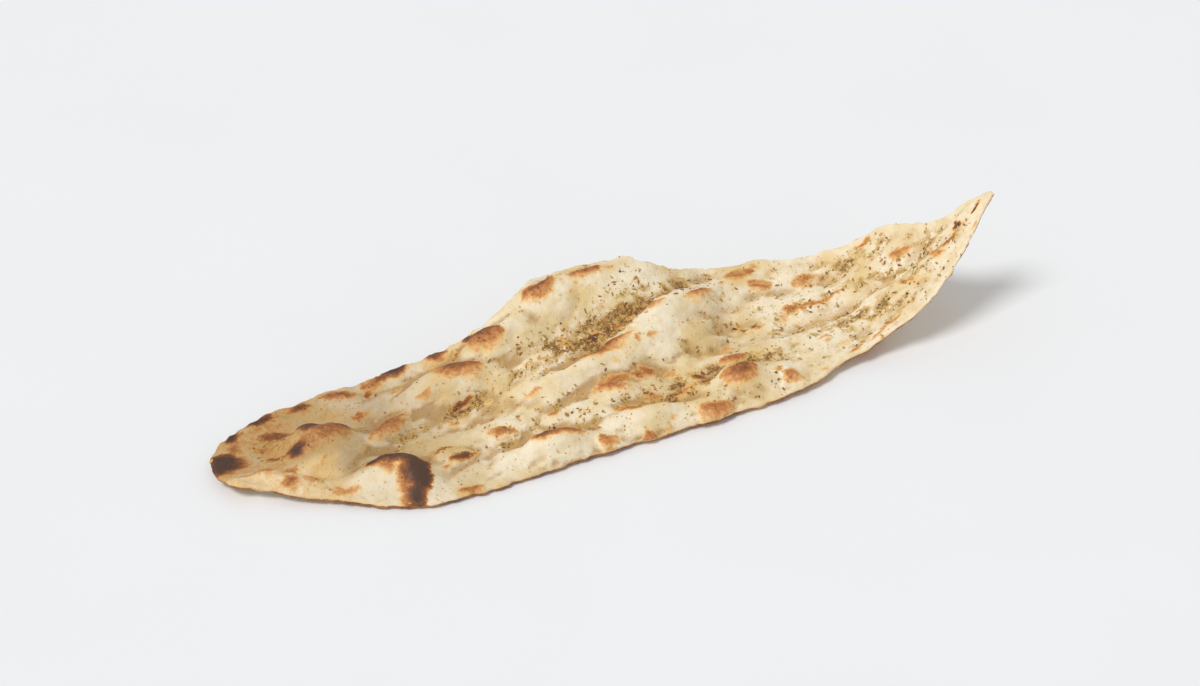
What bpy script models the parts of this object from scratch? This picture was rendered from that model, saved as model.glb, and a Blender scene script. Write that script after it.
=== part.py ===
"""A long strip of naan bread, cut from a large one and lying on a table, as one faceted solid.

The strip runs along X. Its left end is blunt, its front edge (towards -Y) lies low, its back edge
is lifted along the middle, and its right end narrows to a tip that curls up off the table.
"""

from collections import namedtuple

import bmesh
import bpy
import numpy as np

MM = 0.001

# Driving dimensions, in millimetres.
LEFT_END = -136.0
RIGHT_END = 140.0
LEFT_BOW = 5.0  # how far the blunt left end bulges past LEFT_END
RIGHT_BOW = 1.0
BOW_REACH = 0.06  # the share of the length over which an end's bulge fades out
DOUGH = 3.4  # thickness of the dough away from the rim
EDGE_DOUGH = 2.2  # thickness at the rim
EDGE_BAND = 7.0  # how far in from the rim the dough thins
RIM_BULGE = 0.8  # how far the rounded rim stands out at half its height
UNDERSIDE_SHARE = 0.35  # how much of each fold shows on the underside, the rest being hollow blister
SETTLE = 1.2  # how gently the underside flattens where it lies on the table
FOLD_BLEND = 2.5  # how sharply one fold gives way to the next
RIM_FOLD = 0.35  # the share of a fold's height that is left at the rim

COLUMNS = 84
ROWS = 26

CRUST_COLOUR = (0.80, 0.62, 0.38, 1.0)
CRUST_ROUGHNESS = 0.62

# A smooth line runs through each curve's few (x, value) points, in millimetres.
FRONT_EDGE = (
    (-136, -9), (-111, -22), (-76, -35.5), (-19, -29), (57, -20),
    (84, -10), (113, -6), (132, 3.5), (140, 6.5),
)
BACK_EDGE = (
    (-136, 15), (-125, 22), (-94, 29.5), (-40, 32), (-27, 35.5), (-16, 44), (14, 45),
    (25, 39.5), (60, 42.5), (112, 33), (122, 22), (134, 15), (140, 9),
)
FRONT_RISE = (
    (-136, 5), (-110, 2.5), (-60, 1), (20, 1), (50, 2),
    (84, 4.5), (100, 10.5), (118, 22.5), (132, 35.5), (140, 46),
)
BACK_RISE = (
    (-136, 3.5), (-94, 4.5), (-56, 9.5), (-20, 23.5), (16, 24.5), (50, 14), (84, 12), (113, 24), (140, 47),
)
BELLY = ((-136, 1), (-90, 5), (-50, 3), (0, 4), (50, 6.5), (90, 6), (118, 3), (140, 0))

# A fold's crest is at x, y. It falls away gently over front and steeply over back, and turn is in degrees.
Fold = namedtuple("Fold", "x y length front back height turn")
FOLDS = (
    Fold(-104, 2, 32, 15, 9, 8.0, -10),  # the big blister near the left end
    Fold(-85, -19, 30, 12, 9, 8.0, -35),  # the scorched blister on the front edge
    Fold(-116, -14, 40, 5, 6, 3.0, -30),  # the puffed rim of the left end
    Fold(-86, 17, 26, 7, 4, 3.5, 8),
    Fold(-82, 3, 34, 7, 4, 4.0, 21),
    Fold(-57, 15, 44, 11, 6, 6.5, -4),
    Fold(-38, 24, 34, 11, 5, 5.0, 14),
    Fold(-54, -9, 48, 8, 4, 3.5, 6),
    Fold(-31, -24, 44, 10, 4, 5.5, -3),
    Fold(-2, 37, 64, 19, 7, 6.0, 2),
    Fold(-10, 5, 52, 9, 4, 5.5, 10),
    Fold(26, 23, 68, 15, 5, 6.5, 24),
    Fold(-6, -9, 48, 8, 5, 4.0, 8),
    Fold(4, -20, 56, 10, 4, 4.5, 5),
    Fold(24, -26, 30, 8, 6, 3.0, 8),
    Fold(42, -8, 40, 12, 4, 5.5, 12),
    Fold(66, 5, 104, 10, 4, 4.5, 7),
    Fold(80, 23, 72, 11, 5, 3.5, -2),
    Fold(112, 8, 40, 7, 4, 2.5, -4),
)


def smooth_line(points, x):
    """Values at x of a smooth line through the points, which never overshoots between two of them."""
    px, py = np.array(points, float).T
    slopes = np.diff(py) / np.diff(px)
    same_way = slopes[1:] * slopes[:-1] > 0
    total = np.where(same_way, slopes[1:] + slopes[:-1], 1.0)
    tangents = np.zeros_like(py)
    tangents[1:-1] = np.where(same_way, 2 * slopes[1:] * slopes[:-1] / total, 0.0)
    tangents[0], tangents[-1] = slopes[0], slopes[-1]
    x = np.clip(x, px[0], px[-1])
    i = np.clip(np.searchsorted(px, x, side="right") - 1, 0, len(px) - 2)
    step = px[i + 1] - px[i]
    t = (x - px[i]) / step
    value = (2 * t**3 - 3 * t**2 + 1) * py[i] + (3 * t**2 - 2 * t**3) * py[i + 1]
    return value + step * ((t**3 - 2 * t**2 + t) * tangents[i] + (t**3 - t**2) * tangents[i + 1])


def outline(x):
    """The front and the back edge's y at x, with the small scallops that baking leaves."""
    scallops = 0.5 * np.sin(0.31 * x) + 0.35 * np.sin(0.73 * x + 1.0)
    front = smooth_line(FRONT_EDGE, x) - 0.6 * scallops
    back = smooth_line(BACK_EDGE, x) + 0.5 * np.sin(0.27 * x + 2.0) + 0.6 * scallops
    return front, back


def middle_height(x, across):
    """Height of the middle of the dough at x, where across runs from 0 at the front edge to 1 at the back."""
    front, back = smooth_line(FRONT_RISE, x), smooth_line(BACK_RISE, x)
    return front + (back - front) * across - smooth_line(BELLY, x) * 4 * across * (1 - across)


def fold_height(x, y):
    """Height of the folds and blisters at x, y above the flat dough."""
    total = np.zeros_like(x)
    for fold in FOLDS:
        turn = np.radians(fold.turn)
        along = ((x - fold.x) * np.cos(turn) + (y - fold.y) * np.sin(turn)) / (fold.length / 2)
        off = (y - fold.y) * np.cos(turn) - (x - fold.x) * np.sin(turn)
        off = np.where(off > 0, off / fold.back, off / fold.front)
        ridge = np.clip(1 - along**2, 0, None) * np.clip(1 - off**2, 0, None) ** 1.5
        total += (fold.height * ridge) ** FOLD_BLEND
    return total ** (1 / FOLD_BLEND)


def settled(height):
    """The underside's height where it sags to the table: no lower than 0, with a soft start to the flat."""
    soft = (height + SETTLE) ** 2 / (4 * SETTLE)
    return np.where(height < -SETTLE, 0.0, np.where(height < SETTLE, soft, height))


def bread_shape(along, across, level):
    """The bread's points in millimetres. Inputs run from 0 to 1: left to right, front to back, bottom to top."""
    x = LEFT_END + (RIGHT_END - LEFT_END) * along
    front, back = outline(x)
    bow = 4 * across * (1 - across)
    x = x - LEFT_BOW * bow * np.clip(1 - along / BOW_REACH, 0, 1) ** 2
    x = x + RIGHT_BOW * bow * np.clip(1 - (1 - along) / BOW_REACH, 0, 1) ** 2
    y = front + (back - front) * across
    to_ends = np.minimum(along, 1 - along) * (RIGHT_END - LEFT_END)
    to_rim = np.minimum(np.minimum(y - front, back - y), to_ends)
    inward = np.clip(to_rim / EDGE_BAND, 0, 1)
    dough = EDGE_DOUGH + (DOUGH - EDGE_DOUGH) * inward
    folds = fold_height(x, y) * (RIM_FOLD + (1 - RIM_FOLD) * inward)
    underside = settled(middle_height(x, across) - dough / 2 + UNDERSIDE_SHARE * folds)
    top = underside + dough + (1 - UNDERSIDE_SHARE) * folds
    z = underside + (top - underside) * level

    # The rim's middle loop stands out, square to the edge it belongs to.
    bulge = np.where((level > 0.25) & (level < 0.75), RIM_BULGE, 0.0)
    y = y + bulge * (np.where(across > 0.999, 1.0, 0.0) - np.where(across < 0.001, 1.0, 0.0))
    x = x + bulge * (np.where(along > 0.999, 1.0, 0.0) - np.where(along < 0.001, 1.0, 0.0))
    return np.stack((x, y, z), axis=-1)


def slab():
    """A slab of 1 by 1 by 1, with the grid on its top and underside and one loop around its rim."""
    mesh = bmesh.new()
    bmesh.ops.create_grid(mesh, x_segments=COLUMNS, y_segments=ROWS, size=0.5)
    bmesh.ops.translate(mesh, verts=mesh.verts, vec=(0.5, 0.5, 0.0))
    grown = bmesh.ops.extrude_face_region(mesh, geom=mesh.faces[:])["geom"]
    top = [item for item in grown if isinstance(item, bmesh.types.BMVert)]
    bmesh.ops.translate(mesh, verts=top, vec=(0.0, 0.0, 1.0))
    upright = [edge for edge in mesh.edges if abs(edge.verts[0].co.z - edge.verts[1].co.z) > 0.5]
    bmesh.ops.subdivide_edges(mesh, edges=upright, cuts=1)
    bmesh.ops.recalc_face_normals(mesh, faces=mesh.faces)
    return mesh


def dough_material():
    """The pale baked dough."""
    material = bpy.data.materials.new("baked_dough")
    material.use_nodes = True
    shader = material.node_tree.nodes["Principled BSDF"]
    shader.inputs["Base Color"].default_value = CRUST_COLOUR
    shader.inputs["Roughness"].default_value = CRUST_ROUGHNESS
    shader.inputs["Metallic"].default_value = 0.0
    return material


def build_naan():
    """The bread, shaped from the slab and centred over the origin with its underside on the table."""
    mesh = slab()
    corners = np.array([vertex.co for vertex in mesh.verts])
    points = bread_shape(*corners.T)
    low, high = points.min(axis=0), points.max(axis=0)
    points -= ((low[0] + high[0]) / 2, (low[1] + high[1]) / 2, low[2])
    for vertex, point in zip(mesh.verts, points):
        vertex.co = point * MM
    data = bpy.data.meshes.new("naan")
    mesh.to_mesh(data)
    mesh.free()
    data.shade_smooth()
    naan = bpy.data.objects.new("naan", data)
    naan.data.materials.append(dough_material())
    bpy.context.scene.collection.objects.link(naan)


def main():
    """Clears the scene and builds the bread in it."""
    for item in list(bpy.data.objects):
        bpy.data.objects.remove(item, do_unlink=True)
    build_naan()


main()
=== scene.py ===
"""A strip of herbed naan bread, cut lengthwise from a large one, on a pale table under soft studio light.

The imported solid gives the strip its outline, its folds and its curled tip. NaanStrip turns a copy of it
into baked dough: pillows, blisters, creases, a torn rim, and how far each point is baked. Scatter lays
dried herbs, ground spice and charred crumbs on it at their real size, and Studio adds the table, lamps and
camera. Places are in millimetres in the strip's own frame: +X towards the curled tip, +Y towards the
lifted back edge, and the table at 0.
"""

import logging
import math
from collections.abc import Mapping
from dataclasses import dataclass, field
from enum import Enum

import bpy
import numpy as np
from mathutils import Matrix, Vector, noise
from mathutils.kdtree import KDTree


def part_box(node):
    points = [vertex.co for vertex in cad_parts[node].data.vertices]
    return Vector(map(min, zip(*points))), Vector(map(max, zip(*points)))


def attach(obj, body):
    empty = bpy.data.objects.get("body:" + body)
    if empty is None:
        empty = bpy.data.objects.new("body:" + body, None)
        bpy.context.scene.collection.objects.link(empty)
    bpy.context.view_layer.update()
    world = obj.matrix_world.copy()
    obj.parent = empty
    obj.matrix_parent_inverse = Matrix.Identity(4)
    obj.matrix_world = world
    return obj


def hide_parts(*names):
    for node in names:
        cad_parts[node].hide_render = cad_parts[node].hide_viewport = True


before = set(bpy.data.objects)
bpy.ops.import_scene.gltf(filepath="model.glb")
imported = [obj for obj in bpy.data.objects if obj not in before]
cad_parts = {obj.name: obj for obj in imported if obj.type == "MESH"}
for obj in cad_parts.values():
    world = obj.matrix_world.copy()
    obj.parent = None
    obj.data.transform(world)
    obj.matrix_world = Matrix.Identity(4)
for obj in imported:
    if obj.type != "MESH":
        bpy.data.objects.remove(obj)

LOG = logging.getLogger("naan")
MM = 0.001

# Each finer layer of grain is this many times as fine, and fades at this rate.
FINER_STEP = 2.0
FINER_FADE = 0.9
# How much of a pillow is taken up by the crease around it.
CREASE_SHARE = 0.6
# The Mix node's sockets for colours, whose names its other sockets share.
FIRST_COLOUR, SECOND_COLOUR, MIXED_COLOUR = 6, 7, 2

Colour = tuple[float, float, float, float]
Size = tuple[float, float, float]
Span = tuple[float, float]
Socket = bpy.types.NodeSocket
Feeds = Mapping[str | int, object]


def shade(red: int, green: int, blue: int) -> Colour:
    """A colour as a paint chart gives it, from 0 to 255 on the sRGB curve, in the shader's linear light.

    Args:
        red: The red share.
        green: The green share.
        blue: The blue share.

    Returns:
        The linear colour with full opacity.
    """
    parts = []
    for share in (red, green, blue):
        part = share / 255
        parts.append(part / 12.92 if part <= 0.04045 else ((part + 0.055) / 1.055) ** 2.4)
    return (parts[0], parts[1], parts[2], 1.0)


def ease(values: np.ndarray, low: float, high: float) -> np.ndarray:
    """Runs smoothly from 0 where values are low to 1 where they are high."""
    step = np.clip((values - low) / (high - low), 0.0, 1.0)
    return step * step * (3.0 - 2.0 * step)


def turned(x: np.ndarray, y: np.ndarray, turn: float) -> tuple[np.ndarray, np.ndarray]:
    """Turns distances along +X and +Y into distances along and across a direction turn degrees from +X."""
    angle = math.radians(turn)
    return x * math.cos(angle) + y * math.sin(angle), y * math.cos(angle) - x * math.sin(angle)


def grain(points: np.ndarray, size: Size, turn: float, depth: int, seed: float) -> np.ndarray:
    """Soft random relief, about -1 to 1, in lumps of a given size.

    Args:
        points: The places, in millimetres, one row each.
        size: The lumps' length, width and height, in millimetres.
        turn: The direction of their length, in degrees from +X.
        depth: How many finer layers are added.
        seed: A shift that gives another pattern.

    Returns:
        One value for each place.
    """
    along, across = turned(points[:, 0], points[:, 1], turn)
    up = points[:, 2] / size[2] + 0.5 * seed
    places = np.stack((along / size[0] + seed, across / size[1] - seed, up), axis=1).tolist()
    return np.array([noise.fractal(place, FINER_FADE, FINER_STEP, depth) for place in places])


def cells(points: np.ndarray, size: Size, turn: float, seed: float) -> np.ndarray:
    """Pillows of random outline, 0 in the creases between them and about 1 in their middles.

    Args:
        points: The places, in millimetres, one row each.
        size: The pillows' length, width and height, in millimetres.
        turn: The direction of their length, in degrees from +X.
        seed: A shift that gives another pattern.

    Returns:
        One value for each place.
    """
    along, across = turned(points[:, 0], points[:, 1], turn)
    up = points[:, 2] / size[2]
    places = np.stack((along / size[0] + seed, across / size[1] - seed, up), axis=1).tolist()
    gaps = np.array([noise.voronoi(place)[0][:2] for place in places])
    return ease(gaps[:, 1] - gaps[:, 0], 0.0, CREASE_SHARE)


@dataclass(frozen=True)
class Spot:
    """A blister that the oven has browned. Its crest is at x, y, and it is darkest there.

    Its length runs along turn. Across it, the browning fades over front towards -Y and over back towards +Y.
    Heat is how dark it is at the crest, and lift is how high it stands there.
    """

    x: float
    y: float
    length: float
    front: float
    back: float
    turn: float
    heat: float
    lift: float = 0.5

    def shape(self, places: np.ndarray) -> np.ndarray:
        """The spot's strength at each place, from 0 outside it to 1 on its crest."""
        along, off = self._offsets(places)
        return np.clip(1.0 - along**2 - off**2, 0.0, 1.0)

    def browning(self, places: np.ndarray) -> np.ndarray:
        """How far the spot bakes each place: soft towards -Y, and darkest and sharp at its crest's far side.

        Args:
            places: The places, in millimetres, one row each.

        Returns:
            Values from 0 outside the spot to its heat.
        """
        off = self._offsets(places)[1]
        edge = 1.1 - 0.75 * ease(off, -0.3, 0.3)
        return self.heat * self.shape(places) ** edge * (0.86 + 0.24 * ease(off, -0.7, 0.3))

    def _offsets(self, places: np.ndarray) -> tuple[np.ndarray, np.ndarray]:
        """How far each place is along and across the spot, where 1 is its edge."""
        along, off = turned(places[:, 0] - self.x, places[:, 1] - self.y, self.turn)
        return along / (self.length / 2), np.where(off > 0, off / self.back, off / self.front)


@dataclass(frozen=True)
class Drift:
    """A hollow where dried herbs have gathered, centred on x, y and running along turn."""

    x: float
    y: float
    length: float
    width: float
    turn: float
    weight: float

    def shape(self, places: np.ndarray) -> np.ndarray:
        """How thickly the herbs lie at each place.

        Args:
            places: The places, in millimetres, one row each.

        Returns:
            The weight in the middle, fading to 0 outside.
        """
        along, off = turned(places[:, 0] - self.x, places[:, 1] - self.y, self.turn)
        reach = (along / (self.length / 2)) ** 2 + (off / (self.width / 2)) ** 2
        return self.weight * np.exp(-1.2 * reach)


@dataclass(frozen=True)
class Sprinkling:
    """Small spots laid by chance over the whole top, each as hot, or as high, as its strength.

    A spot is stretch times as long as its size, and its length lies about turn, give or take wander degrees.
    """

    count: int
    seed: int
    sizes: Span
    stretch: Span
    front: float
    back: float
    wander: float
    strength: Span
    turn: float = 13.0

    def spots(self, low: np.ndarray, high: np.ndarray) -> list[Spot]:
        """Lays the spots.

        Args:
            low: The lowest corner of the bread's box.
            high: The highest corner of the bread's box.

        Returns:
            The spots.
        """
        draw = np.random.default_rng(self.seed)
        spots = []
        for _ in range(self.count):
            x, y = draw.uniform(low[0], high[0]), draw.uniform(low[1], high[1])
            size = draw.uniform(*self.sizes)
            length = size * draw.uniform(*self.stretch)
            turn = draw.normal(self.turn, self.wander)
            strength = draw.uniform(*self.strength)
            spots.append(Spot(x, y, length, size * self.front, size * self.back, turn, strength, strength))
        return spots


# Each Spot is x, y, length, front, back, turn, heat, lift.
LEFT_END_SPOTS = (
    Spot(-136.5, -2, 14, 8, 8, 60, 1.02, 0.2),
    Spot(-131.5, 11.5, 9, 3.5, 3, 40, 0.92, 0.2),
    Spot(-132, 6, 9, 4, 4, 50, 0.5, 0.1),
    Spot(-120, 17.5, 15, 4, 3, 22, 0.9, 0.3),
    Spot(-107, 19.5, 10, 2.5, 2.5, 5, 0.7, 0.3),
    Spot(-117.5, 7.5, 15, 4.5, 4, -15, 0.66, 0.4),
    Spot(-123, 2, 9, 4, 4, 0, 0.42, 0.1),
    Spot(-121, -3.5, 8, 1.6, 1.6, -25, 0.66, 0.1),
    Spot(-108, 3, 9, 5.5, 3.5, -20, 0.96, 0.6),
    Spot(-99.5, 2.5, 18, 5.5, 3.5, -30, 0.92, 0.5),
    Spot(-103, -1, 20, 8, 4, -20, 0.54, 0.2),
    Spot(-113.5, -6, 8, 3.5, 3.5, -10, 0.98, 0.1),
    Spot(-112, -6, 14, 5.5, 5, -10, 0.46, 0.0),
    Spot(-93, 21, 15, 4, 3, -10, 0.62, 0.6),
    Spot(-93.5, 21, 6, 1.4, 1.4, -8, 0.82, 0.2),
    Spot(-89, 8.5, 8, 2.2, 1.8, 3, 0.55, 0.4),
    Spot(-81.5, -1.5, 22, 5, 3.5, 31, 0.54, 0.7),
    Spot(-83, 0, 8, 1.3, 1.3, 25, 0.72, 0.1),
    Spot(-79, 22.5, 13, 3.5, 3, 10, 0.55, 0.5),
    Spot(-82, 19, 5, 1.8, 1.6, 0, 0.62, 0.3),
    Spot(-76.5, 23, 6, 2, 2, -20, 0.76, 0.3),
    Spot(-70.5, 25.5, 13, 3.5, 4, 18, 0.95, 0.5),
    Spot(-119, -17, 46, 10, 7, -38, 0.22, 0.0),
    Spot(-126, -11.5, 7, 3, 3, -40, 0.48, 0.2),
    Spot(-118, -12, 6, 3, 3, -30, 0.56, 0.2),
    Spot(-112.5, -17.5, 8, 2.4, 2, -40, 0.54, 0.3),
    Spot(-119.5, -20, 7, 3, 3, -30, 0.52, 0.2),
    Spot(-104, -27, 15, 2.5, 2, -20, 0.42, 0.1),
)
SCORCHED_SPOTS = (
    Spot(-90, -20, 10, 5, 3.5, 0, 0.98, 0.5),
    Spot(-88.5, -25, 7, 4, 3, 0, 0.56, 0.0),
    Spot(-85, -21.5, 12, 6, 5, -12, 1.0, 0.3),
    Spot(-80, -24.5, 14, 7, 5.5, -45, 1.05, 0.3),
    Spot(-80, -30.5, 15, 8, 5.5, -80, 1.08, 0.3),
    Spot(-82.5, -36, 11, 6, 5, -110, 1.0, 0.2),
)
MIDDLE_SPOTS = (
    Spot(-56.5, 25.5, 12, 3, 3, -6, 0.8, 0.6),
    Spot(-53.5, 12, 22, 7, 3, -20, 0.72, 0.3),
    Spot(-66, 6.5, 5, 2, 2, 0, 0.46, 0.3),
    Spot(-56, 0.5, 11, 1.6, 1.4, 6, 0.8, 0.0),
    Spot(-62, -23.5, 12, 2.2, 1.8, 6, 0.84, 0.6),
    Spot(-67.5, -19, 9, 2, 2, 0, 0.58, 0.5),
    Spot(-64, -38.5, 13, 3, 2, 3, 0.54, 0.2),
    Spot(-47, -18, 11, 3, 2.5, -6, 0.56, 0.6),
    Spot(-41, 19, 14, 7, 4.5, -20, 0.68, 0.5),
    Spot(-42.5, 21, 6, 2.4, 2, -20, 0.9, 0.1),
    Spot(-43.5, 25.5, 6, 1.5, 2, -15, 0.95, 0.3),
    Spot(-30, -27.5, 21, 3, 2.5, 0, 0.66, 0.3),
    Spot(-34, -26.8, 10, 1.4, 1.4, 8, 0.86, 0.1),
    Spot(-27.5, -15, 6, 1.8, 1.6, -15, 0.49, 0.4),
    Spot(-31.5, -5.5, 6, 1.5, 1.5, 5, 0.39, 0.4),
    Spot(-45, -0.5, 4, 1.3, 1.3, 0, 0.39, 0.3),
    Spot(-16.5, 31, 18, 6, 4, 24, 0.66, 0.6),
    Spot(-16, 32, 13, 3, 2, 24, 0.96, 0.2),
    Spot(0.5, 34, 15, 4, 4, 12, 0.6, 0.5),
    Spot(6, 35.5, 6, 2, 3, 60, 0.76, 0.3),
    Spot(-13.8, -32, 8, 4, 3, -20, 0.54, 0.4),
    Spot(0, -33, 8, 3, 2.5, 5, 0.58, 0.4),
    Spot(-3, 5, 26, 4.4, 2.4, 16, 0.68, 0.3),
    Spot(-8, 3.5, 10, 2, 1.6, 10, 0.82, 0.1),
    Spot(-3.5, 12.5, 6, 2.0, 2.0, 20, 0.96, 0.2),
    # A thin dark line under a fold's lip: a painted shadow, laid as browning.
    Spot(6, 14.5, 16, 1.6, 1.4, 10, 0.6, 0.0),
    Spot(-15, 13, 7, 2, 2, -20, 0.36, 0.2),
    Spot(21.5, 17.5, 9, 2.4, 2, 10, 0.36, 0.3),
    Spot(-3.5, -9.5, 17, 6.5, 5, 16, 0.56, 0.9),
    Spot(8.5, -5.5, 10, 3, 2.6, 0, 0.62, 0.8),
    Spot(18, -7, 8, 1.8, 1.8, 10, 0.44, 0.4),
    Spot(26.5, -10.5, 9, 2, 1.8, -18, 0.74, 0.5),
    Spot(18.5, -15, 15, 3.5, 3, 25, 0.36, 0.2),
    Spot(-2.5, -20.5, 12, 2.6, 2.2, 3, 0.52, 0.6),
    Spot(7.5, -17, 9, 2.4, 2.2, 0, 0.42, 0.4),
    Spot(26.5, -28, 17, 6, 5, 6, 0.48, 0.5),
)
TIP_SPOTS = (
    Spot(38.5, 21.5, 16, 4, 2.4, 28, 0.54, 0.4),
    Spot(38, 22, 6, 1.2, 1, 28, 0.84, 0.1),
    Spot(40.5, -6, 14, 3, 2.6, 8, 0.56, 0.8),
    Spot(40, -15, 16, 6.5, 4, 14, 0.66, 1.0),
    Spot(58, -19.5, 9, 4, 4, 20, 0.46, 0.7),
    Spot(57, 11, 6, 1.8, 1.6, 5, 0.49, 0.4),
    Spot(59.5, 33, 18, 4, 2.6, 18, 0.5, 0.4),
    Spot(50.5, 28.5, 5, 1.3, 1.2, 10, 0.44, 0.3),
    Spot(64, 27, 10, 3.6, 3, 5, 0.5, 0.4),
    Spot(80.5, 26, 11, 3.4, 2.6, 10, 0.48, 0.4),
    Spot(80, 14, 32, 1.2, 1.0, 5, 0.5, 0.0),
    Spot(72, 14.5, 9, 2, 1.6, 5, 0.56, 0.3),
    Spot(84.5, -12.5, 8, 1.5, 1.2, 19, 0.54, 0.2),
    Spot(96.5, -9.5, 18, 1.2, 1.2, 22, 0.42, 0.0),
    Spot(104.5, 28, 5, 1.3, 1.6, -8, 0.54, 0.3),
    Spot(112, 14.5, 9, 3, 2.4, -24, 0.5, 0.3),
    Spot(109, 2.5, 9, 1.4, 1.2, -30, 0.49, 0.4),
    Spot(120.3, 3, 7, 3, 2.3, -41, 0.54, 0.3),
    Spot(128.8, 5.7, 3.4, 1.2, 1.2, 0, 1.0, 0.1),
    Spot(126, 3.5, 4, 1.4, 1.2, 0, 0.6, 0.1),
    Spot(135.6, 4.8, 2.0, 0.7, 0.7, 0, 0.95, 0.1),
)
BROWNED_SPOTS = (*LEFT_END_SPOTS, *SCORCHED_SPOTS, *MIDDLE_SPOTS, *TIP_SPOTS)

# Pillows that have puffed up without browning.
PUFFS = (
    Spot(-104, 0, 34, 16, 8, -14, 0, 2.0),
    Spot(-108, 2, 10, 6, 4, -30, 0, 1.1),
    Spot(-98.5, 1.5, 13, 8, 4, -30, 0, 1.3),
    Spot(-95, -24, 18, 9, 5, -20, 0, 1.5),
    Spot(-82, -24, 22, 10, 8, -50, 0, 2.0),
    Spot(-119, -17, 30, 6, 4, -38, 0, 1.5),
    Spot(-55, 12.5, 28, 13, 4.5, -20, 0, 2.8),
    Spot(-81.5, -1.5, 24, 6, 4, 32, 0, 1.6),
    Spot(-92, 19.5, 17, 5, 3, -12, 0, 1.3),
    Spot(-72, 10, 26, 7, 4, 10, 0, 1.4),
    Spot(-64, -21, 15, 6, 3, -10, 0, 1.2),
    Spot(-67.5, -19.5, 8, 5, 2.5, -10, 0, 0.9),
    Spot(-15, 29, 22, 10, 4, 24, 0, 2.0),
    Spot(-41, 20, 22, 9, 4, -8, 0, 2.0),
    Spot(-1, 5.5, 38, 10, 4, 20, 0, 1.7),
    Spot(20, 7, 42, 13, 5, 8, 0, 1.7),
    Spot(-4, -8, 22, 10, 4, 8, 0, 2.0),
    Spot(9, -6, 10, 5, 3, -5, 0, 0.9),
    Spot(0, -22, 32, 9, 4, -4, 0, 1.9),
    Spot(-30, -26.5, 26, 9, 4.5, 0, 0, 2.5),
    Spot(-14, -31, 10, 5, 3, -5, 0, 0.9),
    Spot(0, -30.5, 9, 4, 3, 5, 0, 0.8),
    Spot(-47.5, -18.5, 14, 6, 3, -6, 0, 1.5),
    Spot(-29, -16, 10, 4, 3, -6, 0, 0.8),
    Spot(25, -25.5, 18, 7, 5, 8, 0, 1.7),
    Spot(39, 21, 18, 6, 3, 28, 0, 1.4),
    Spot(60, 31, 20, 7, 4, 18, 0, 1.1),
    Spot(64, 26, 10, 5, 3, 5, 0, 0.8),
    Spot(81, 25, 13, 6, 3.5, 10, 0, 1.0),
    Spot(112, 14.5, 11, 5, 3, -24, 0, 0.8),
    Spot(120, 3, 8, 4, 2.5, -41, 0, 0.6),
    Spot(41, -13, 19, 8, 6, 14, 0, 2.4),
    Spot(41, -5, 15, 5, 4, 4, 0, 1.2),
    Spot(57, -19, 12, 5, 4.5, 10, 0, 1.4),
    Spot(52, 8, 42, 9, 4, 10, 0, 1.1),
    Spot(80, 12.5, 36, 8, 3.5, 6, 0, 1.2),
    Spot(101, 5, 26, 9, 4, -35, 0, 0.7),
    Spot(71, -8, 48, 9, 5, 18, 0, 1.0),
    Spot(34, 8, 20, 9, 7, 10, 0, 1.7),
    Spot(74, 29, 40, 6, 4, 4, 0, 1.0),
)

# Each Drift is x, y, length, width, turn, weight.
HERB_DRIFTS = (
    Drift(9, 17, 42, 9, 22, 3.2),
    Drift(8, 24, 36, 8, 24, 1.2),
    Drift(-12, 14, 30, 8, 12, 2.6),
    Drift(34, 27, 22, 8, 26, 1.5),
    Drift(-30, 6, 26, 8, 18, 0.7),
    Drift(-55, 0, 16, 5, 12, 3.0),
    Drift(-38, -12.5, 24, 6, 6, 1.8),
    Drift(-44, -24, 16, 4, 4, 1.8),
    Drift(-18, -18, 24, 6, 6, 1.2),
    Drift(15, -15, 30, 7, 10, 3.4),
    Drift(31, -9, 22, 5, 8, 2.6),
    Drift(51, -5.5, 13, 7, 10, 3.0),
    Drift(63, -4, 28, 5, 8, 1.5),
    Drift(83, 1, 36, 7, 6, 1.3),
    Drift(67, 12.5, 42, 4, 6, 1.6),
    Drift(100, 25, 22, 7, -10, 1.8),
    Drift(94, 14, 30, 6, -6, 1.3),
    Drift(100, -1, 28, 9, 0, 0.8),
    Drift(119, 7.5, 26, 12, 0, 0.9),
    Drift(-122, 1, 14, 9, -10, 1.0),
    Drift(-76, -8, 14, 6, 10, 1.0),
    Drift(-67, -20, 12, 4, -10, 1.0),
)

BLISTERS = Sprinkling(
    count=170, seed=11, sizes=(3.0, 8.0), stretch=(1.1, 1.9), front=0.5, back=0.35, wander=14.0,
    strength=(0.1, 0.4),
)
FRECKLES = Sprinkling(
    count=210, seed=12, sizes=(1.0, 3.2), stretch=(1.0, 2.4), front=0.6, back=0.5, wander=16.0,
    strength=(0.14, 0.4),
)


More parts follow.
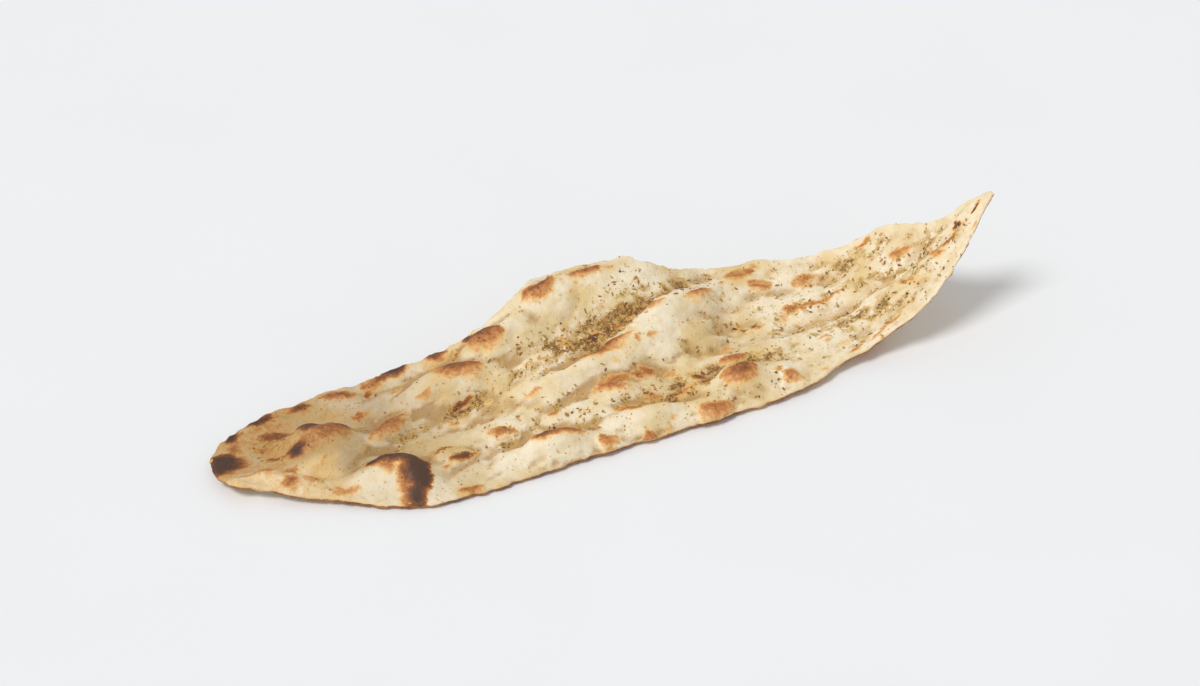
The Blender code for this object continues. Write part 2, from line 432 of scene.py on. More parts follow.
class Nodes:
    """Lays out one material's nodes, each added and linked by a short call."""

    def __init__(self, name: str) -> None:
        """Starts a material.

        Args:
            name: The material's name.
        """
        self.material = bpy.data.materials.new(name)
        self.material.use_nodes = True
        self.tree = self.material.node_tree
        self.shader = self.tree.nodes["Principled BSDF"]
        self.place = self.tree.nodes.new("ShaderNodeTexCoord").outputs["Object"]

    def add(self, kind: str, inputs: Feeds | None = None, **settings: object) -> bpy.types.Node:
        """Adds a node, sets its own properties and feeds its inputs.

        Args:
            kind: The node's type, without its ShaderNode prefix.
            inputs: The inputs, by name or number, and what each is fed.
            **settings: The properties.

        Returns:
            The node.
        """
        node = self.tree.nodes.new("ShaderNode" + kind)
        for key, value in settings.items():
            setattr(node, key, value)
        for key, source in (inputs or {}).items():
            self.feed(node.inputs[key], source)
        return node

    def feed(self, socket: Socket, source: object) -> None:
        """Links a socket to a node's output, or sets it to a value.

        Args:
            socket: The input socket.
            source: An output socket or a plain value.
        """
        if isinstance(source, Socket):
            self.tree.links.new(source, socket)
        else:
            socket.default_value = source

    def speckle(self, size: float, detail: float = 3.0, rough: float = 0.5) -> Socket:
        """Cloudy noise from 0 to 1, in lumps of size millimetres."""
        inputs = {"Vector": self.place, "Scale": 1.0 / (size * MM), "Detail": detail, "Roughness": rough}
        return self.add("TexNoise", inputs).outputs["Fac"]

    def ruffle(self, size: float, detail: float, rough: float, reach: float) -> Socket:
        """Cloudy noise about 0, reach from its lowest to its highest."""
        return self.work("MULTIPLY", self.work("SUBTRACT", self.speckle(size, detail, rough), 0.5), reach)

    def dots(self, size: float) -> Socket:
        """The distance to the nearest of random dots, as a share of size, their spacing in millimetres."""
        return self.add("TexVoronoi", {"Vector": self.place, "Scale": 1.0 / (size * MM)}).outputs["Distance"]

    def value(self, attribute: str) -> Socket:
        """A number painted on the mesh under that name."""
        return self.add("Attribute", attribute_name=attribute).outputs["Fac"]

    def work(self, operation: str, first: object, second: object, clamp: bool = False) -> Socket:
        """Two numbers joined by an operation of the Math node."""
        return self.add("Math", {0: first, 1: second}, operation=operation, use_clamp=clamp).outputs[0]

    def span(self, source: Socket, low: float, high: float, start: float = 0.0, end: float = 1.0) -> Socket:
        """Maps low to start and high to end, easing between them."""
        inputs = {"Value": source, "From Min": low, "From Max": high, "To Min": start, "To Max": end}
        return self.add("MapRange", inputs, interpolation_type="SMOOTHSTEP").outputs["Result"]

    def blend(self, share: Socket, first: object, second: object, mode: str = "MIX") -> Socket:
        """The first colour turning into the second, or tinted by it, as share grows."""
        inputs = {"Factor": share, FIRST_COLOUR: first, SECOND_COLOUR: second}
        return self.add("Mix", inputs, data_type="RGBA", blend_type=mode).outputs[MIXED_COLOUR]

    def ramp(self, source: Socket, *stops: tuple[float, Colour]) -> tuple[Socket, Socket]:
        """Colours laid along a number.

        Args:
            source: The number.
            *stops: A position and its colour, in rising order.

        Returns:
            The colour and its opacity.
        """
        node = self.add("ValToRGB", {"Fac": source})
        points = node.color_ramp.elements
        for point, (position, colour) in ((points[0], stops[0]), (points[1], stops[-1])):
            point.position = position
            point.color = colour
        for position, colour in stops[1:-1]:
            points.new(position).color = colour
        return node.outputs["Color"], node.outputs["Alpha"]

    def bump(self, height: Socket, depth: float, below: Socket | None = None) -> Socket:
        """Bends the surface's normal by a height.

        Args:
            height: The height, from 0 to 1.
            depth: What a height of 1 is, in millimetres.
            below: The normal that this one is added to.

        Returns:
            The bent normal.
        """
        inputs = {"Distance": depth * MM, "Height": height}
        if below is not None:
            inputs["Normal"] = below
        return self.add("Bump", inputs).outputs["Normal"]


def faded(colour: Colour, opacity: float) -> Colour:
    """The colour with that opacity."""
    return (*colour[:3], opacity)


@dataclass(frozen=True)
class CrustFinish:
    """Baked dough: pale skin, browned blisters, oily hollows and scorched edges.

    It reads four numbers that are painted on the bread, each from 0 to 1: one for how far the oven has
    browned it, one for the painted shade in hollows and at the left end, one for how oily it is, and one for
    the painted shade that dims the whole crust towards the left end.
    """

    pale: Colour = shade(246, 233, 205)
    warm: Colour = shade(230, 203, 148)
    # Painted shade: the darker, browner skin where it lies in a hollow.
    hollow_shade: Colour = shade(186, 146, 90)
    oil: Colour = shade(208, 170, 98)
    umber: Colour = shade(140, 98, 58)
    fleck: Colour = shade(206, 164, 86)
    honey: Colour = shade(240, 196, 120)
    golden: Colour = shade(225, 166, 96)
    toasted: Colour = shade(204, 140, 80)
    russet: Colour = shade(176, 110, 61)
    brown: Colour = shade(142, 88, 50)
    dark: Colour = shade(114, 78, 55)
    char: Colour = shade(92, 66, 53)
    # Painted shade: the grey that dims the whole crust towards the left end.
    left_end_shade_colour: Colour = shade(222, 220, 217)
    roughness: float = 0.58
    oily_roughness: float = 0.36
    specular: float = 0.35
    glow: float = 0.12
    glow_reach: Size = (1.0, 0.55, 0.3)
    glow_depth: float = 1.6
    lump_height: float = 0.35
    pore_depth: float = 0.05

    def material(self) -> bpy.types.Material:
        """Lays out the finish.

        Returns:
            The material.
        """
        nodes = Nodes("baked_dough")
        patches = nodes.span(nodes.speckle(2.6, 4.0, 0.65), 0.4, 0.58)
        stain = nodes.work("MULTIPLY", nodes.value("oil"), patches)
        colour, cover = self._browned(nodes)
        skin = nodes.blend(cover, self._dough(nodes, stain), colour)
        # Painted shade dims the whole crust towards the left end.
        skin = nodes.blend(nodes.value("left_end_shade"), skin, self.left_end_shade_colour, "MULTIPLY")
        for key, value in (
            ("Base Color", skin),
            ("Roughness", nodes.span(stain, 0.1, 0.8, self.roughness, self.oily_roughness)),
            ("Normal", self._relief(nodes)),
            ("Subsurface Weight", self.glow),
            ("Subsurface Radius", self.glow_reach),
            ("Subsurface Scale", self.glow_depth * MM),
            ("Specular IOR Level", self.specular),
        ):
            nodes.feed(nodes.shader.inputs[key], value)
        return nodes.material

    def _dough(self, nodes: Nodes, stain: Socket) -> Socket:
        """The skin where it isn't browned: pale and mottled, with painted shade in hollows, oiled and
        flecked.

        Args:
            nodes: The material's nodes.
            stain: How much oil has soaked in.

        Returns:
            The skin's colour.
        """
        skin = nodes.blend(nodes.span(nodes.speckle(16.0, 3.0), 0.37, 0.7), self.pale, self.warm)
        mottling = nodes.span(nodes.speckle(2.6, 4.0, 0.6), 0.42, 0.75, 0.0, 0.45)
        skin = nodes.blend(mottling, skin, self.warm)
        # Painted shade: the skin darkens and browns in hollows and at the left end.
        skin = nodes.blend(nodes.span(nodes.value("hollow_shade"), 0.0, 1.0, 0.0, 0.9), skin, self.hollow_shade)
        skin = nodes.blend(nodes.span(stain, 0.02, 0.4, 0.0, 0.8), skin, self.oil)
        skin = nodes.blend(nodes.span(stain, 0.4, 1.0, 0.0, 0.85), skin, self.umber)
        areas = nodes.span(nodes.speckle(5.0, 3.0), 0.46, 0.58, 0.0, 0.75)
        flecks = nodes.work("MULTIPLY", nodes.span(nodes.dots(2.1), 0.24, 0.14), areas)
        return nodes.blend(flecks, skin, self.fleck)

    def _browned(self, nodes: Nodes) -> tuple[Socket, Socket]:
        """The browning: the painted baking with ragged edges and small darker specks.

        Args:
            nodes: The material's nodes.

        Returns:
            The browning's colour and its opacity.
        """
        heat = nodes.value("baking")
        held = nodes.work("MINIMUM", nodes.work("MULTIPLY", heat, 4.0), 1.0)
        ragged = nodes.work("ADD", nodes.ruffle(1.9, 5.0, 0.65, 0.75), nodes.ruffle(0.7, 3.0, 0.6, 0.3))
        browning = nodes.work("ADD", heat, nodes.work("MULTIPLY", held, ragged))
        areas = nodes.span(nodes.speckle(4.0, 2.0), 0.5, 0.62)
        specks = nodes.work("MULTIPLY", nodes.span(nodes.dots(1.5), 0.28, 0.12), areas)
        specks = nodes.work("MULTIPLY", specks, nodes.span(heat, 0.3, 0.5, 0.0, 0.5))
        return nodes.ramp(
            nodes.work("ADD", browning, specks, clamp=True),
            (0.0, faded(self.honey, 0.0)),
            (0.07, faded(self.honey, 0.0)),
            (0.2, faded(self.honey, 0.55)),
            (0.34, faded(self.golden, 0.88)),
            (0.48, self.toasted),
            (0.62, self.russet),
            (0.76, self.brown),
            (0.90, self.dark),
            (1.0, self.char),
        )

    def _relief(self, nodes: Nodes) -> Socket:
        """The crust's fine lumps, with pores between them."""
        lumps = nodes.bump(nodes.speckle(1.5, 4.0, 0.55), self.lump_height)
        return nodes.bump(nodes.span(nodes.dots(0.9), 0.0, 0.35), self.pore_depth, lumps)


@dataclass(frozen=True)
class CrumbFinish:
    """Loose dry matter, each grain at its own tone from the first to the last of some tones."""

    name: str
    tones: tuple[Colour, ...]
    worn: Colour = shade(108, 80, 46)
    wear: float = 0.2
    roughness: float = 0.7
    relief: float = 0.06

    def material(self) -> bpy.types.Material:
        """Lays out the finish from the number tone, which is painted on the grains.

        Returns:
            The material.
        """
        nodes = Nodes(self.name)
        steps = len(self.tones) - 1
        stops = tuple((place / steps, tone) for place, tone in enumerate(self.tones))
        colour, _ = nodes.ramp(nodes.value("tone"), *stops)
        worn = nodes.blend(nodes.span(nodes.speckle(0.5), 0.3, 0.7, 0.0, self.wear), colour, self.worn)
        nodes.feed(nodes.shader.inputs["Base Color"], worn)
        nodes.feed(nodes.shader.inputs["Roughness"], self.roughness)
        nodes.feed(nodes.shader.inputs["Normal"], nodes.bump(nodes.speckle(0.35), self.relief))
        return nodes.material


@dataclass(frozen=True)
class TableFinish:
    """A pale matt table top, faintly uneven."""

    paint: Colour = shade(243, 245, 247)
    uneven: Colour = shade(239, 241, 244)
    roughness: float = 0.6

    def material(self) -> bpy.types.Material:
        """Lays out the finish.

        Returns:
            The material.
        """
        nodes = Nodes("table_top")
        clouds = nodes.span(nodes.speckle(90.0, 2.0), 0.3, 0.7, 0.0, 0.3)
        nodes.feed(nodes.shader.inputs["Base Color"], nodes.blend(clouds, self.paint, self.uneven))
        nodes.feed(nodes.shader.inputs["Roughness"], self.roughness)
        return nodes.material


def lone(piece: bpy.types.Object) -> None:
    """Selects this piece alone and makes it the active one."""
    bpy.ops.object.select_all(action="DESELECT")
    piece.select_set(True)
    bpy.context.view_layer.objects.active = piece


@dataclass
class Surface:
    """A mesh's points, normals and edges as arrays, in millimetres."""

    mesh: bpy.types.Mesh
    count: int = field(init=False)
    points: np.ndarray = field(init=False)
    edges: np.ndarray = field(init=False)
    degree: np.ndarray = field(init=False)
    normals: np.ndarray = field(init=False)

    def __post_init__(self) -> None:
        """Reads the mesh."""
        self.count = len(self.mesh.vertices)
        self.points = self._read("vertices", "co", 3) / MM
        self.edges = self._read("edges", "vertices", 2, np.int32)
        self.degree = np.bincount(self.edges.ravel(), minlength=self.count)
        self.normals = self._normals()

    def _read(self, part: str, key: str, width: int, kind: type = np.float32) -> np.ndarray:
        """One property of each of the mesh's parts.

        Args:
            part: The collection, such as vertices.
            key: The property.
            width: How many numbers it has.
            kind: The numbers' type in the mesh.

        Returns:
            A row for each part.
        """
        items = getattr(self.mesh, part)
        values = np.empty(len(items) * width, kind)
        items.foreach_get(key, values)
        return values.reshape(-1, width).astype(np.float64 if kind is np.float32 else kind)

    def _normals(self) -> np.ndarray:
        """The points' outward directions."""
        return self._read("vertices", "normal", 3)

    def write(self) -> None:
        """Puts the points back into the mesh and reads its new normals."""
        self.mesh.vertices.foreach_set("co", (self.points * MM).astype(np.float32).ravel())
        self.mesh.update()
        self.normals = self._normals()

    def paint(self, name: str, values: np.ndarray) -> None:
        """Keeps one number for each point on the mesh under that name, for the material to read."""
        layer = self.mesh.attributes.new(name, "FLOAT", "POINT")
        layer.data.foreach_set("value", values.astype(np.float32))

    def blurred(self, values: np.ndarray, rounds: int) -> np.ndarray:
        """The values averaged with their neighbours' again and again.

        Args:
            values: One number for each point.
            rounds: How many times.

        Returns:
            The blurred numbers.
        """
        first, second = self.edges.T
        for _ in range(rounds):
            near = np.bincount(first, values[second], self.count)
            near += np.bincount(second, values[first], self.count)
            values = 0.5 * (values + near / self.degree)
        return values


@dataclass
class NaanStrip:
    """The strip of bread: one solid of thin dough, blistered and browned on top."""

    node: str = "naan"
    smoothing: int = 2
    lay: float = 14.0
    crease_depth: float = 0.45
    crease_size: Size = (15.0, 7.5, 20.0)
    wrinkle_depth: float = 0.28
    wrinkle_size: Size = (9.0, 4.5, 9.0)
    ripple_depth: float = 0.16
    ripple_size: Size = (2.6, 1.9, 2.6)
    belly_depth: float = 0.35
    belly_size: Size = (12.0, 9.0, 12.0)
    tear_depth: float = 0.55
    tear_size: Size = (3.2, 3.2, 3.2)
    rim_width: float = 5.0
    notch_depth: float = 3.4
    notch_place: float = 127.5
    notch_reach: float = 6.5
    tip_span: Span = (131.0, 142.0)
    tip_middle: float = 4.0
    tip_narrowing: float = 0.6
    top: np.ndarray = field(init=False)
    under: np.ndarray = field(init=False)
    rim: np.ndarray = field(init=False)
    herb_weight: np.ndarray = field(init=False)
    surface: Surface = field(init=False)

    def build(self) -> bpy.types.Object:
        """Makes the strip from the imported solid.

        Returns:
            The finished piece.
        """
        piece = self._smooth_copy()
        self.surface = Surface(piece.data)
        self._raise(self.surface)
        self._paint(self.surface)
        piece.data.materials.clear()
        piece.data.materials.append(CrustFinish().material())
        lone(piece)
        bpy.ops.object.shade_smooth()
        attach(piece, "root")
        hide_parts(self.node)
        return piece

    def _smooth_copy(self) -> bpy.types.Object:
        """Copies the solid, with its facets merged and smoothed away.

        Returns:
            The copy.
        """
        piece = bpy.data.objects.new("naan_strip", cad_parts[self.node].data.copy())
        bpy.context.scene.collection.objects.link(piece)
        lone(piece)
        bpy.ops.object.mode_set(mode="EDIT")
        bpy.ops.mesh.select_all(action="SELECT")
        bpy.ops.mesh.remove_doubles(threshold=0.001 * MM)
        bpy.ops.mesh.tris_convert_to_quads(face_threshold=math.pi, shape_threshold=math.pi)
        bpy.ops.object.mode_set(mode="OBJECT")
        smoother = piece.modifiers.new("smoother", "SUBSURF")
        smoother.levels = smoother.render_levels = self.smoothing
        bpy.ops.object.modifier_apply(modifier=smoother.name)
        return piece

    def _raise(self, surface: Surface) -> None:
        """Shapes the dough: creases, wrinkles, pillows, blisters and the uneven rim.

        Args:
            surface: The smooth copy's surface.
        """
        start = surface.points.copy()
        facing = surface.normals.copy()
        self.top = ease(facing[:, 2], -0.15, 0.35)
        self.under = 1.0 - self.top
        self.rim = self._closeness_to_rim(start, facing)
        lift = self.crease_depth * (cells(start, self.crease_size, self.lay, 3.1) - 0.6)
        lift += self.wrinkle_depth * grain(start, self.wrinkle_size, self.lay, 3, 7.7)
        lift += self.ripple_depth * grain(start, self.ripple_size, 10.0, 2, 1.3)
        lift *= 1.0 - 0.55 * self.rim
        warp = self._warped(start)
        for spot in (*BROWNED_SPOTS, *BLISTERS.spots(*self._box())):
            lift += spot.lift * spot.shape(warp) ** 1.5
        for puff in PUFFS:
            lift += puff.lift * puff.shape(warp) ** 1.2
        below = self.belly_depth * grain(start, self.belly_size, 0.0, 3, 21.0) - 0.25
        amount = lift * self.top + below * self.under * (1.0 - self.rim)
        torn = self.tear_depth * grain(start, self.tear_size, 0.0, 3, 5.5) * self.rim
        surface.points = start + facing * (amount + torn)[:, None]
        self._pinch_tip(surface.points)
        surface.points[:, 2] = np.maximum(surface.points[:, 2], 0.0)
        surface.write()

    def _box(self) -> tuple[np.ndarray, ...]:
        """The solid's lowest and highest corners, in millimetres."""
        return tuple(np.array(corner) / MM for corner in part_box(self.node))

    def _pinch_tip(self, points: np.ndarray) -> None:
        """Draws the curled tip out to a point, with a notch in its back edge.

        Args:
            points: The bread's points, which are moved.
        """
        x, y = points[:, 0], points[:, 1]
        notch = np.exp(-(((x - self.notch_place) / self.notch_reach) ** 2)) * ease(y, 1.0, 12.0)
        points[:, 1] = y - self.notch_depth * notch
        narrow = 1.0 - self.tip_narrowing * ease(x, *self.tip_span)
        pinched = self.tip_middle + (points[:, 1] - self.tip_middle) * narrow
        points[:, 1] = np.where(x > self.tip_span[0], pinched, points[:, 1])

    def _warped(self, points: np.ndarray) -> np.ndarray:
        """Pushes places about a little, so that nothing laid out on them keeps an even outline.

        Args:
            points: The places.

        Returns:
            Their x and y, pushed about.
        """
        warp = points[:, :2].copy()
        warp[:, 0] += 1.9 * grain(points, (7.0, 5.0, 7.0), 12.0, 4, 40.0)
        warp[:, 1] += 1.3 * grain(points, (6.0, 4.5, 6.0), 12.0, 4, 60.0)
        return warp

    def _closeness_to_rim(self, points: np.ndarray, facing: np.ndarray) -> np.ndarray:
        """How near each point is to the rim.

        Args:
            points: The bread's points.
            facing: The directions that they face.

        Returns:
            Values from 1 on the rim to 0 at rim_width from it.
        """
        edge = points[np.abs(facing[:, 2]) < 0.3]
        tree = KDTree(len(edge))
        for number, place in enumerate(edge):
            tree.insert(place, number)
        tree.balance()
        away = np.array([tree.find(place)[2] for place in points])
        return 1.0 - ease(away, 0.3, self.rim_width)

    def _paint(self, surface: Surface) -> None:
        """Paints on how far each point is baked, the painted shade of its hollows and of the dim left end,
        and how oily it is.

        Args:
            surface: The shaped surface.
        """
        right, left, front = surface.points[:, 0], -surface.points[:, 0], -surface.points[:, 1]
        hollow_shade, crest = self._depths(surface)
        flap = ease(left, 96.0, 106.0) * ease(front, 8.0, 13.0)
        fresh = np.maximum(flap, ease(left, 62.0, 76.0) * ease(front, 19.0, 25.0))
        # Painted shade at the left end, laid into the hollows' painted shade.
        left_shade = ease(left, 30.0, 100.0)
        left_shade *= 0.5 + 0.3 * grain(surface.points, (14.0, 9.0, 14.0), 10.0, 3, 27.0)
        # Less painted hollow shade towards the right.
        hollow_shade *= 1.0 - 0.4 * ease(right, 10.0, 60.0)
        hollow_shade = np.maximum(hollow_shade, left_shade * self.top) * (1.0 - 0.7 * fresh)
        heat = self._baking(surface, 0.18 * flap, 0.05 * crest)
        surface.paint("baking", heat)
        # The painted shade of hollows and of the left end.
        surface.paint("hollow_shade", hollow_shade)
        # The painted shade that dims the whole left end.
        surface.paint("left_end_shade", ease(left, 30.0, 112.0) * (1.0 - 0.65 * fresh))
        bare = 0.95 * ease(heat, 0.7, 0.9)
        self.herb_weight = self._herb_weight(surface.points, hollow_shade, crest) * (1.0 - bare)
        oil = surface.blurred(self.herb_weight, 5)
        oil = oil * (1.0 + 0.6 * ease(right, 30.0, 80.0))
        surface.paint("oil", np.clip(oil / 1.6, 0.0, 1.0) * self.top)

    def _depths(self, surface: Surface) -> tuple[np.ndarray, np.ndarray]:
        """Compares each point's height with the mean height about it, far and near.

        Args:
            surface: The shaped surface.

        Returns:
            How far each point lies in a hollow, and how far it stands on a crest.
        """
        height = surface.points[:, 2]
        broad = surface.blurred(height, 160)
        near = surface.blurred(height, 25)
        deep = np.clip((broad - height) / 1.6, -1.0, 1.0) * self.top
        sharp = np.clip((near - height) / 0.35, -1.0, 1.0) * self.top
        return np.clip(0.85 * deep + 0.45 * sharp, 0.0, 1.0), np.clip(-0.7 * deep - 0.4 * sharp, 0.0, 1.0)

    def _baking(self, surface: Surface, least: np.ndarray, more: np.ndarray) -> np.ndarray:
        """How far the oven has baked each point.

        Args:
            surface: The shaped surface.
            least: The least baking of each point on the top.
            more: What is added to the baking of each point on the top.

        Returns:
            Values from 0 for raw dough to 1 for char.
        """
        points = surface.points
        warp = self._warped(points)
        heat = np.zeros(surface.count)
        for spot in (*BROWNED_SPOTS, *FRECKLES.spots(*self._box())):
            heat = np.maximum(heat, spot.browning(warp))
        end = ease(-points[:, 0], 76.0, 112.0) * ease(points[:, 1], -19.0, -3.0)
        heat = np.maximum(heat, 0.36 * end * (0.6 + 0.6 * grain(points, (10.0, 7.0, 10.0), 10.0, 3, 90.0)))
        heat = np.maximum(heat, least) + more
        heat *= ease(surface.normals[:, 2], -0.95, -0.1)
        return np.maximum(heat, self._baking_below(points))

    def _baking_below(self, points: np.ndarray) -> np.ndarray:
        """How far the underside is baked, in broad blotches, small dabs and a line along the rim.

        Args:
            points: The bread's points.

        Returns:
            The baking, which is 0 on the top.
        """
        rim_line = np.clip(self.rim * 1.2 - 0.2, 0.0, 1.0) ** 1.5 * self.under
        rim_line *= 0.62 + 0.35 * grain(points, (9.0, 9.0, 9.0), 0.0, 2, 14.0)
        blotches = np.clip(0.22 + 0.55 * grain(points, (17.0, 12.0, 17.0), 0.0, 4, 33.0), 0.0, 0.75)
        dabs = 0.6 * ease(grain(points, (5.5, 4.5, 5.5), 0.0, 2, 71.0), 0.18, 0.45)
        return np.maximum(rim_line, np.maximum(blotches, dabs) * self.under * (1.0 - self.rim))

    def _herb_weight(self, points: np.ndarray, hollow_shade: np.ndarray, crest: np.ndarray) -> np.ndarray:
        """How thickly herbs lie: in drifts and hollows, in small clumps, and hardly on crests.

        Args:
            points: The bread's points.
            hollow_shade: How deep each lies, which sets its painted shade, with the painted shade of the left
                end added.
            crest: How far each stands on a crest.

        Returns:
            One weight for each point.
        """
        weight = 0.06 + 0.2 * ease(points[:, 0], 0.0, 80.0)
        for drift in HERB_DRIFTS:
            weight += drift.shape(points)
        weight *= 0.35 + 1.1 * hollow_shade
        weight += 0.3 * hollow_shade * ease(points[:, 0], -70.0, -30.0)
        weight *= np.clip(0.5 + 2.6 * grain(points, (4.2, 2.3, 4.2), self.lay, 3, 55.0), 0.02, 2.6)
        weight *= 1.0 - 0.7 * crest
        return weight * self.top * (1.0 - 0.6 * self.rim)


class Form(Enum):
    """The shape of one loose grain."""

    LEAF = "leaf"
    GRAIN = "grain"


@dataclass(frozen=True)
class Scatter:
    """Many small things of one kind lying on the bread, joined in one mesh.

    A grain is smallest to largest millimetres wide, up to stretch times as long, and flatness times as thick.
    It tips by about tilt and sits in the crust by sink of its thickness. Where grains lie thick, crowding
    turns more of them to the first tone, and raggedness makes their corners uneven.
    """

    name: str
    slot: str
    form: Form
    finish: CrumbFinish
    count: int
    smallest: float
    largest: float
    stretch: float
    flatness: float
    tilt: float
    sink: float
    seed: int
    crowding: float = 0.0
    raggedness: float = 0.26
    smallness: float = 2.6

    def build(self, strip: NaanStrip, weight: np.ndarray) -> bpy.types.Object:
        """Lays the grains on the bread.

        Args:
            strip: The bread.
            weight: How thickly they lie at each of its points.

        Returns:
            The finished piece.
        """
        draw = np.random.default_rng(self.seed)
        spots, facing, thick = self._places(strip.surface, weight, draw)
        corners, faces = self._form()
        size = self.smallest + (self.largest - self.smallest) * draw.random(self.count) ** self.smallness
        length = size * draw.uniform(1.0, self.stretch, self.count)
        width = size * draw.uniform(0.6, 1.0, self.count)
        height = size * self.flatness * draw.uniform(0.7, 1.3, self.count)
        turns = self._turns(facing, draw)
        shapes = corners[None] * (1.0 + draw.normal(0.0, self.raggedness, (self.count, *corners.shape)))
        shapes = shapes * np.stack((length, width, height), axis=1)[:, None, :]
        raised = spots + facing * (size * self.flatness * (0.5 - self.sink))[:, None]
        points = np.einsum("nij,nkj->nki", turns, shapes) + raised[:, None, :]
        mesh = bpy.data.meshes.new(self.name)
        starts = range(0, self.count * len(corners), len(corners))
        joined = [tuple(corner + start for corner in face) for start in starts for face in faces]
        mesh.from_pydata((points.reshape(-1, 3) * MM).tolist(), [], joined)
        layer = mesh.attributes.new("tone", "FLOAT", "POINT")
        tones = draw.random(self.count) ** (1.0 + self.crowding * thick)
        layer.data.foreach_set("value", np.repeat(tones, len(corners)).astype(np.float32))
        piece = bpy.data.objects.new(self.name, mesh)
        bpy.context.scene.collection.objects.link(piece)
        mesh.materials.append(self.finish.material())
        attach(piece, "root")
        return piece

    def _places(
        self, surface: Surface, weight: np.ndarray, draw: np.random.Generator
    ) -> tuple[np.ndarray, np.ndarray, np.ndarray]:
        """Picks random places on the bread, more where the weight is high.

        Args:
            surface: The bread's surface.
            weight: The weight at each of its points.
            draw: The source of chance.

        Returns:
            The places, the directions that the bread faces there and the weights there.
        """
        mesh = surface.mesh
        mesh.calc_loop_triangles()
        corners = np.empty(len(mesh.loop_triangles) * 3, np.int32)
        mesh.loop_triangles.foreach_get("vertices", corners)
        corners = corners.reshape(-1, 3)
        a, b, c = (surface.points[corners[:, side]] for side in range(3))
        area = np.linalg.norm(np.cross(b - a, c - a), axis=1)
        share = area * weight[corners].mean(axis=1)
        picked = draw.choice(len(corners), self.count, p=share / share.sum())
        mix = draw.random((self.count, 2))
        mix = np.where(mix.sum(axis=1, keepdims=True) > 1.0, 1.0 - mix, mix)
        shares = np.stack((1.0 - mix.sum(axis=1), mix[:, 0], mix[:, 1]), axis=1)[:, :, None]
        chosen = corners[picked]
        spots = (surface.points[chosen] * shares).sum(axis=1)
        facing = (surface.normals[chosen] * shares).sum(axis=1)
        facing /= np.linalg.norm(facing, axis=1, keepdims=True)
        return spots, facing, weight[chosen].mean(axis=1)

    def _turns(self, facing: np.ndarray, draw: np.random.Generator) -> np.ndarray:
        """Turns each grain at random, lying on the bread and tipped a little.

        Args:
            facing: The directions that the bread faces under the grains.
            draw: The source of chance.

        Returns:
            A turn for each grain, as three columns.
        """
        up = facing + draw.normal(0.0, self.tilt, facing.shape)
        up /= np.linalg.norm(up, axis=1, keepdims=True)
        side = np.cross(up, draw.normal(size=facing.shape))
        side /= np.linalg.norm(side, axis=1, keepdims=True)
        return np.stack((side, np.cross(up, side), up), axis=2)

    def _form(self) -> tuple[np.ndarray, list[tuple[int, ...]]]:
        """Models one grain, which the others copy.

        Returns:
            Its corners, one unit across, and its faces.
        """
        bpy.ops.object.select_all(action="DESELECT")
        if self.form is Form.LEAF:
            bpy.ops.mesh.primitive_cylinder_add(vertices=7, radius=0.5, depth=1.0, end_fill_type="NGON")
            bpy.ops.object.mode_set(mode="EDIT")
            bpy.ops.mesh.select_all(action="SELECT")
            bpy.ops.transform.resize(value=(1.0, 0.75, 1.0))
            bpy.ops.object.mode_set(mode="OBJECT")
        else:
            bpy.ops.mesh.primitive_ico_sphere_add(subdivisions=1, radius=0.5)
        pattern = bpy.context.active_object
        corners = np.array([tuple(vertex.co) for vertex in pattern.data.vertices])
        faces = [tuple(face.vertices) for face in pattern.data.polygons]
        if self.form is Form.LEAF:
            reach = np.abs(corners[:, 0]) * 2.0
            corners[:, 2] = corners[:, 2] * (1.0 - 0.6 * reach) + 0.9 * reach**2
        bpy.data.objects.remove(pattern, do_unlink=True)
        return corners, faces


HERB_TONES = (
    shade(130, 90, 52),
    shade(170, 126, 70),
    shade(200, 162, 88),
    shade(220, 188, 108),
    shade(198, 160, 80),
    shade(190, 134, 76),
)
SPICE_TONES = (shade(150, 94, 52), shade(184, 116, 62), shade(206, 144, 84))
CHAR_TONES = (shade(66, 48, 40), shade(104, 76, 56))

HERBS = Scatter(
    name="herb_flakes", slot="herbs", form=Form.LEAF, finish=CrumbFinish("dried_herbs", HERB_TONES),
    count=4900, smallest=0.3, largest=1.4, stretch=1.35, flatness=0.16, tilt=0.14, sink=0.4, seed=5,
    crowding=0.35,
)
SPICE = Scatter(
    name="spice_specks", slot="spice", form=Form.GRAIN, finish=CrumbFinish("ground_spice", SPICE_TONES),
    count=1500, smallest=0.2, largest=0.7, stretch=1.6, flatness=0.5, tilt=0.4, sink=0.3, seed=6,
)
CHAR = Scatter(
    name="char_crumbs", slot="char", form=Form.GRAIN, finish=CrumbFinish("charred_crumbs", CHAR_TONES),
    count=70, smallest=0.3, largest=1.3, stretch=1.5, flatness=0.5, tilt=0.4, sink=0.25, seed=7,
)


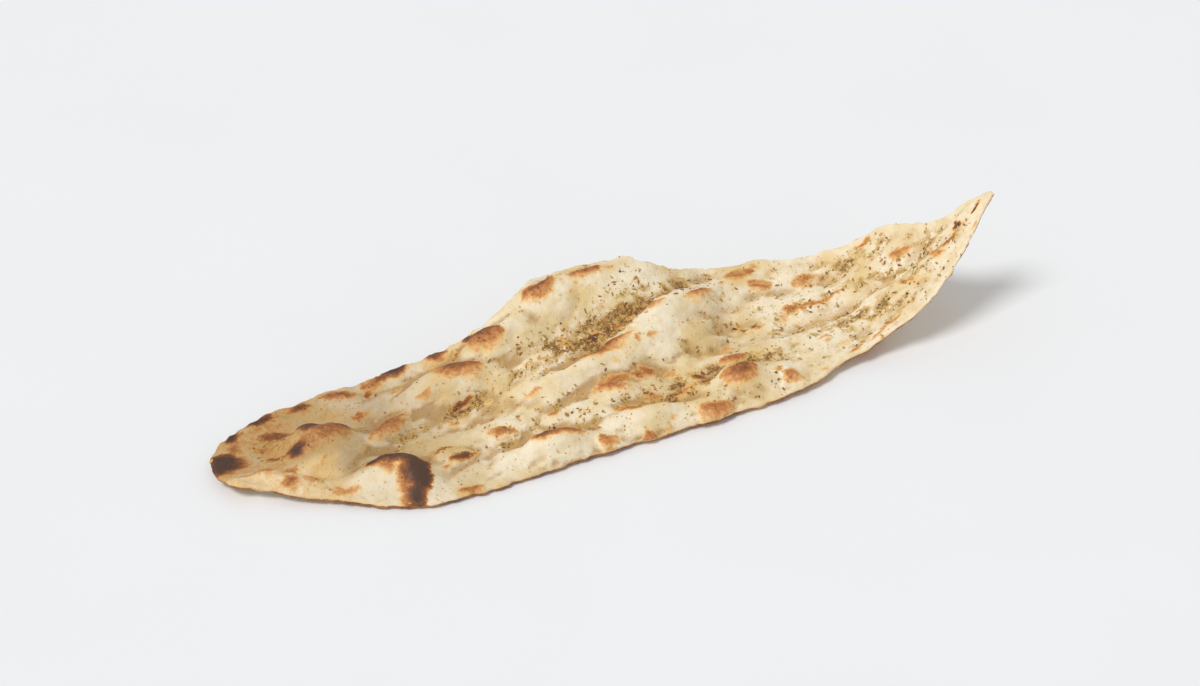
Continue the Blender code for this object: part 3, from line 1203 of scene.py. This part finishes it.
@dataclass(frozen=True)
class Studio:
    """The table, the lamps and the camera."""

    table_size: float = 6.0
    table_drop: float = 0.2
    key_strength: float = 1.74
    key_softness: float = 20.0
    key_from: tuple[float, float, float] = (-0.62, -0.22, 1.0)
    fill_strength: float = 0.52
    room: Colour = (1.0, 0.99, 0.975, 1.0)
    target: tuple[float, float, float] = (4.0, 27.05, 0.0)
    distance: float = 994.0
    azimuth: float = -19.73
    elevation: float = 36.0
    lens: float = 85.0
    film_width: float = 36.0

    def build(self) -> None:
        """Sets up all of it."""
        self._table()
        self._lamps()
        self._camera()
        bpy.context.scene.view_settings.view_transform = "Standard"

    def _table(self) -> None:
        """The pale table top."""
        bpy.ops.object.select_all(action="DESELECT")
        bpy.ops.mesh.primitive_plane_add(size=self.table_size, location=(0.0, 0.0, -self.table_drop * MM))
        table = bpy.context.active_object
        table.name = "table_top"
        table.data.materials.append(TableFinish().material())

    def _lamps(self) -> None:
        """A wide key lamp high on the left and even light from all around."""
        key = bpy.data.lights.new("key", "SUN")
        key.energy = self.key_strength
        key.angle = math.radians(self.key_softness)
        lamp = bpy.data.objects.new("key", key)
        lamp.rotation_mode = "QUATERNION"
        lamp.rotation_quaternion = Vector(self.key_from).to_track_quat("Z", "Y")
        bpy.context.scene.collection.objects.link(lamp)
        world = bpy.data.worlds.new("room")
        world.use_nodes = True
        backdrop = world.node_tree.nodes["Background"]
        backdrop.inputs["Color"].default_value = self.room
        backdrop.inputs["Strength"].default_value = self.fill_strength
        bpy.context.scene.world = world

    def _camera(self) -> None:
        """The camera, looking down on the bread from the front left."""
        turn, rise = math.radians(self.azimuth), math.radians(self.elevation)
        back = Vector((math.sin(turn) * math.cos(rise), -math.cos(turn) * math.cos(rise), math.sin(rise)))
        lens = bpy.data.cameras.new("camera")
        lens.lens = self.lens
        lens.sensor_width = self.film_width
        camera = bpy.data.objects.new("camera", lens)
        camera.location = (Vector(self.target) + back * self.distance) * MM
        camera.rotation_mode = "QUATERNION"
        camera.rotation_quaternion = back.to_track_quat("Z", "Y")
        bpy.context.scene.collection.objects.link(camera)
        bpy.context.scene.camera = camera


def main() -> None:
    """Builds the bread, what lies on it, and the studio."""
    logging.basicConfig(level=logging.INFO, format="%(name)s: %(message)s")
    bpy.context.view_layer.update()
    strip = NaanStrip()
    LOG.info("%s: %d points", strip.build().name, strip.surface.count)
    top = strip.top * (1.0 - 0.7 * strip.rim)
    weights = (
        (HERBS, strip.herb_weight),
        (SPICE, 0.5 * strip.herb_weight + 0.12 * top),
        (CHAR, 0.4 * strip.herb_weight + 0.03 * top),
    )
    for scatter, weight in weights:
        piece = scatter.build(strip, weight)
        LOG.info("%s: %d grains", piece.name, scatter.count)
    Studio().build()


if __name__ == "__main__":
    main()
